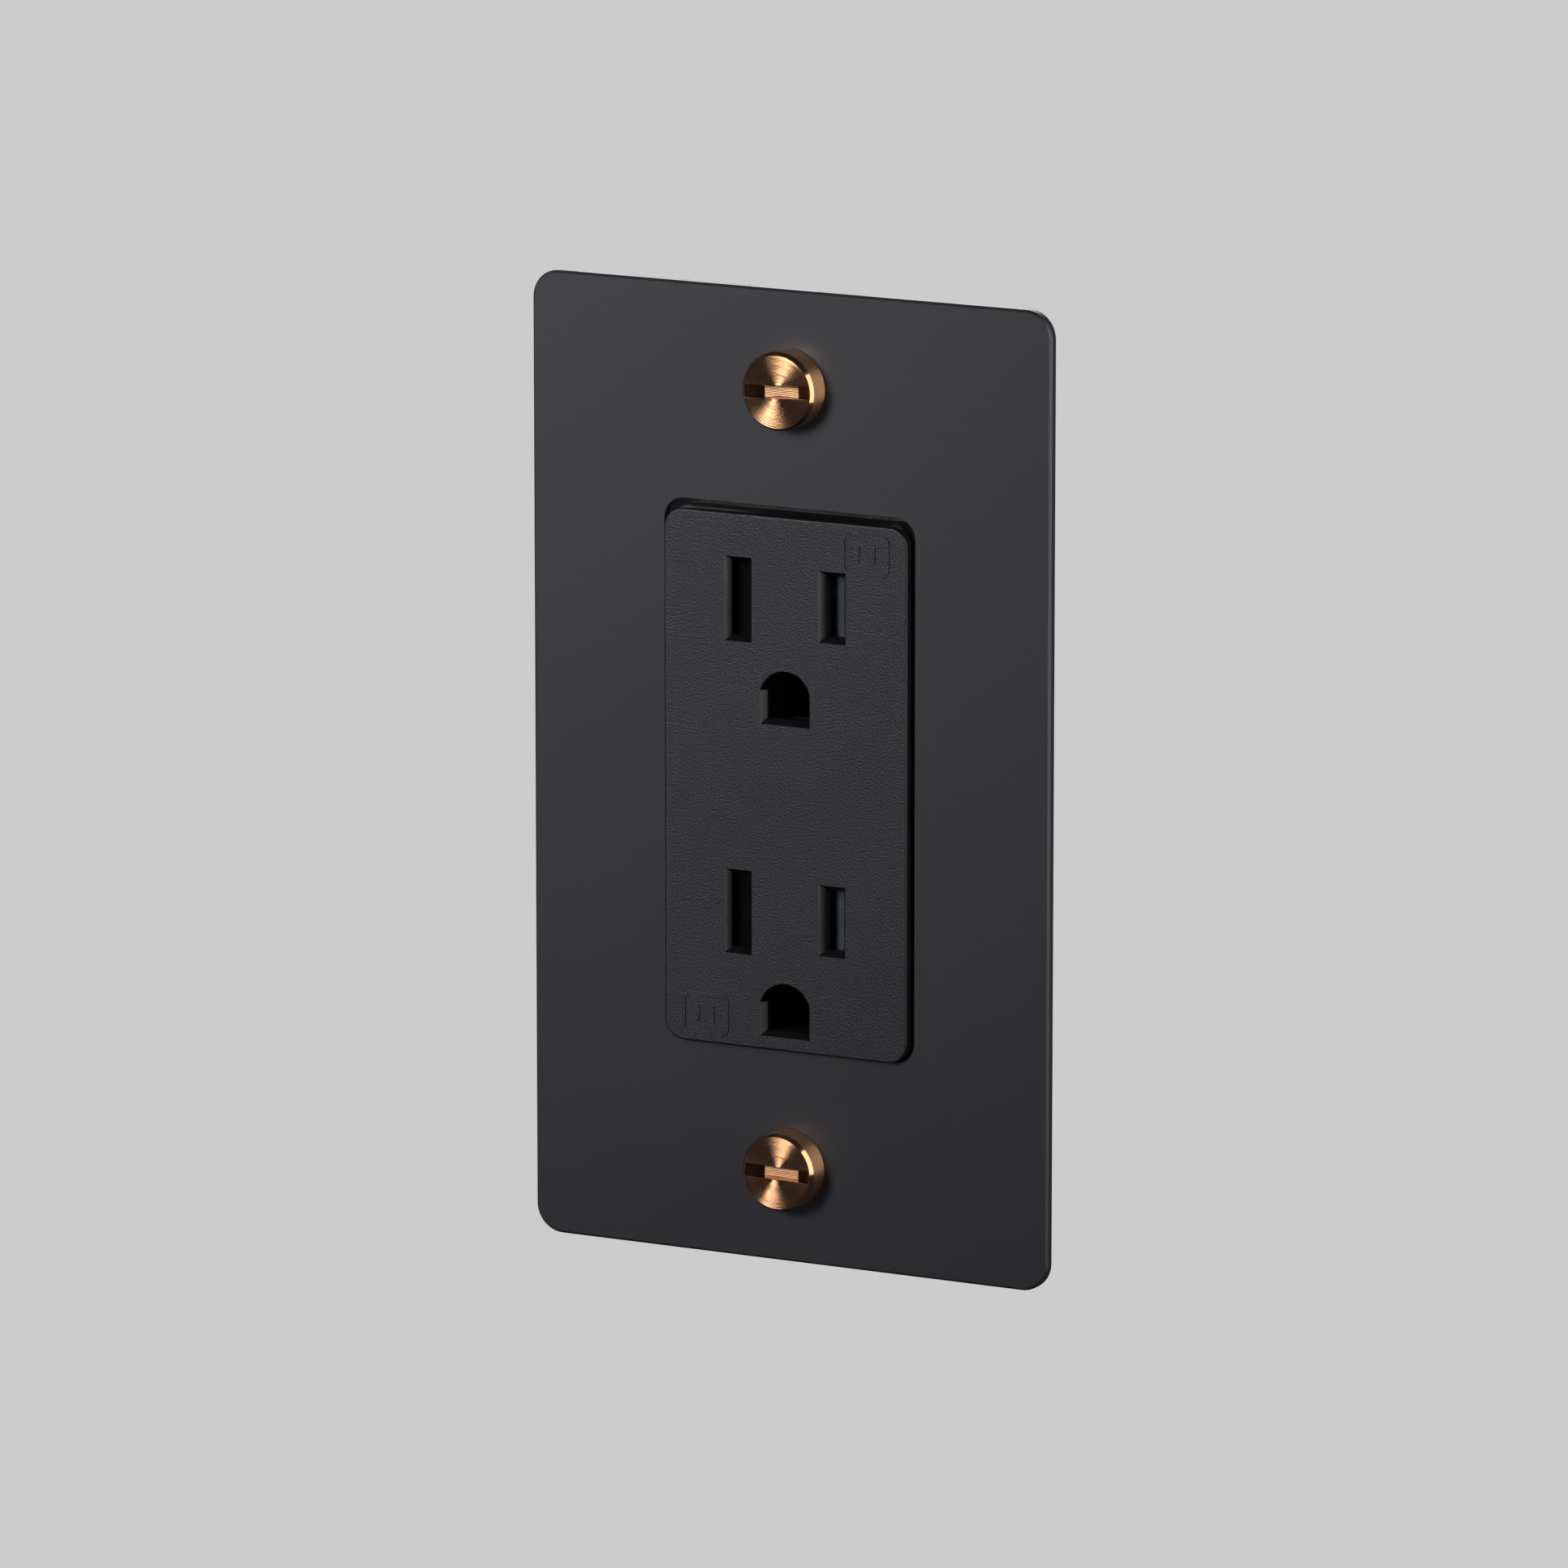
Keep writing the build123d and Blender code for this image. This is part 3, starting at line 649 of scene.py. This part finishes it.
def earth_screw():
    low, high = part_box("earth_screw")
    middle = (low + high) / 2
    seat = low.x + EARTH_HEAD_H * MM
    along = Matrix.Translation((seat, middle.y, middle.z)) @ Matrix.Rotation(math.radians(-90), 4, "Z")
    hexagon_profile = [
        (0, -EARTH_HEAD_H), (EARTH_HEAD_R - 0.8, -EARTH_HEAD_H), (EARTH_HEAD_R, -EARTH_HEAD_H + 0.35),
        (EARTH_HEAD_R, 0.05 - EARTH_WASHER_H), (0, 0.05 - EARTH_WASHER_H),
    ]
    hexagon = coat(lathe("hexagon", hexagon_profile, 6), "green")
    washer_profile = [
        (0, -EARTH_WASHER_H), (EARTH_WASHER_R - 0.2, -EARTH_WASHER_H), (EARTH_WASHER_R, -0.4),
        (EARTH_WASHER_R, 0), (EARTH_NECK_R, 0), (EARTH_NECK_R, EARTH_NECK_H), (0, EARTH_NECK_H),
    ]
    washer = coat(lathe("washer", washer_profile, ROUND_SMALL), "green")
    # The slot's cutter runs past the head at both ends and at the top.
    half = EARTH_SLOT_W / 2
    slot = coat(block("slot", (-6, -4, -half), (6, -EARTH_SLOT_FLOOR, half)), "green")
    cut(hexagon, [slot], HEXAGON_EDGE_BREAK)
    rod = coat(thread("thread", EARTH_THREAD_R, 0.6, (high.x - seat) / MM), "green")
    screw = join("earth_screw_threaded", hexagon, washer, rod)
    smooth_by_angle(screw)
    place(screw, along)
    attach(screw, "earth_screw")
    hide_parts("earth_screw")


# --- shutter springs ---
def coil(name, start, end, radius, wire, turns=SPRING_TURNS, steps_per_turn=28, sides=10):
    """Compression spring from start to end along X, its end turns closed."""
    steps = int(turns * steps_per_turn)
    run = end[0] - start[0]
    points = []
    for step in range(steps + 1):
        part = step / steps
        turned = 2 * math.pi * turns * part
        # The first and last turns lie flat; the rest climb evenly.
        climb = min(1.0, max(0.0, (part * turns - SPRING_CLOSED) / (turns - 2 * SPRING_CLOSED)))
        inset = wire * (1 if run > 0 else -1)
        x = start[0] + inset + (run - 2 * inset) * climb
        out = Vector((0, math.cos(turned), math.sin(turned)))
        for side in range(sides):
            angle = 2 * math.pi * side / sides
            ring = out * (radius + wire * math.cos(angle)) + Vector((1, 0, 0)) * wire * math.sin(angle)
            points.append((x + ring.x, start[1] + ring.y, start[2] + ring.z))
    faces = []
    for step in range(steps):
        for side in range(sides):
            after = (side + 1) % sides
            low, high = step * sides, (step + 1) * sides
            faces.append((low + side, low + after, high + after, high + side))
    faces.append(tuple(reversed(range(sides))))
    faces.append(tuple(range(steps * sides, (steps + 1) * sides)))
    return mesh_from(name, points, faces)


def shutter_springs():
    for side, name in ((1, "hot"), (-1, "neutral")):
        for place_name in ("top", "bottom"):
            node = f"{name}_spring_{place_name}"
            low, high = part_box(node)
            middle = (low + high) / 2 / MM
            slider, wall = (low.x, high.x) if side > 0 else (high.x, low.x)
            outer = (high.z - low.z) / 2 / MM
            made = coil(
                node + "_coil", (slider / MM, middle.y, middle.z), (wall / MM, middle.y, middle.z),
                outer - SPRING_WIRE_R - SPRING_CLEAR, SPRING_WIRE_R,
            )
            coat(made, "spring")
            smooth_by_angle(made, SPRING_SMOOTH_ANGLE)
            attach(made, "device")
            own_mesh(made)
            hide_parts(node)


for end in ("top", "bottom"):
    coin_screw(end)
box_screws()
terminal_screws()
earth_screw()
shutter_springs()


# --- camera, light and floor ---
def direction(azimuth, elevation):
    """Unit vector from the object: azimuth 0 is towards -Y and 90 towards +X."""
    a, e = math.radians(azimuth), math.radians(elevation)
    return Vector((math.sin(a) * math.cos(e), -math.cos(a) * math.cos(e), math.sin(e)))


def camera():
    data = bpy.data.cameras.new("camera")
    data.sensor_width = 36
    data.lens = CAMERA_LENS
    data.clip_end = 100
    made = bpy.data.objects.new("camera", data)
    bpy.context.scene.collection.objects.link(made)
    made.location = Vector(CAMERA_AT) * MM
    ahead = -direction(CAMERA_YAW, CAMERA_PITCH)
    made.rotation_euler = ahead.to_track_quat("-Z", "Y").to_euler()
    bpy.context.scene.camera = made


def softbox(name, at, aim, size, radiance, spread=180):
    """Rectangular light at (azimuth, elevation, distance), facing the aim point, all in degrees and
    metres. Power follows from the brightness of its surface. A spread under 180 degrees is a grid on
    the box, which dims it off its axis."""
    data = bpy.data.lights.new(name, "AREA")
    data.shape = "RECTANGLE"
    data.size, data.size_y = size
    data.energy = radiance * math.pi * size[0] * size[1]
    data.spread = math.radians(spread)
    made = bpy.data.objects.new(name, data)
    bpy.context.scene.collection.objects.link(made)
    made.location = direction(at[0], at[1]) * at[2]
    made.rotation_euler = (Vector(aim) - made.location).to_track_quat("-Z", "Y").to_euler()
    made.visible_camera = False


def floor_and_world():
    """Pale floor and backdrop for the camera only, and a dim room for everything else."""
    drop = CAD_BOX[0].z - FLOOR_DROP * MM
    reach = FLOOR_REACH
    corners = [(-reach, -reach, drop), (reach, -reach, drop), (reach, reach, drop), (-reach, reach, drop)]
    floor = mesh_from("floor", corners, [(0, 1, 2, 3)], 1)
    paint = Paint("floor_pale", Base_Color=(0, 0, 0, 1), Specular_IOR_Level=0.0, Emission_Strength=1.0)
    paint.shader.inputs["Emission Color"].default_value = (PALE, PALE, PALE, 1)
    floor.data.materials.append(paint.material)
    floor.visible_glossy = False
    floor.visible_diffuse = False
    world = bpy.data.worlds.new("studio")
    bpy.context.scene.world = world
    world.use_nodes = True
    tree = world.node_tree
    backdrop = tree.nodes["Background"]
    backdrop.inputs["Color"].default_value = (PALE, PALE, PALE, 1)
    room = tree.nodes.new("ShaderNodeBackground")
    room.inputs["Color"].default_value = ROOM_COLOUR
    room.inputs["Strength"].default_value = ROOM_STRENGTH
    seen = tree.nodes.new("ShaderNodeLightPath")
    mix = tree.nodes.new("ShaderNodeMixShader")
    tree.links.new(seen.outputs["Is Camera Ray"], mix.inputs["Fac"])
    tree.links.new(room.outputs["Background"], mix.inputs[1])
    tree.links.new(backdrop.outputs["Background"], mix.inputs[2])
    tree.links.new(mix.outputs["Shader"], tree.nodes["World Output"].inputs["Surface"])


camera()
floor_and_world()
softbox("key", (-27, 23, 0.60), (-0.15, 0, 0.05), (0.38, 0.28), 0.57, 44)
softbox("right_panel", (86, 15, 0.26), (0, 0, 0.05), (0.15, 0.30), 2.3)
softbox("front_fill", (-27, -12, 1.0), (0, 0, 0), (1.5, 0.22), 0.09)
softbox("rear_fill", (215, 25, 1.2), (0, 0, 0), (1.0, 1.0), 4.0)
bpy.context.scene.view_settings.view_transform = "Standard"
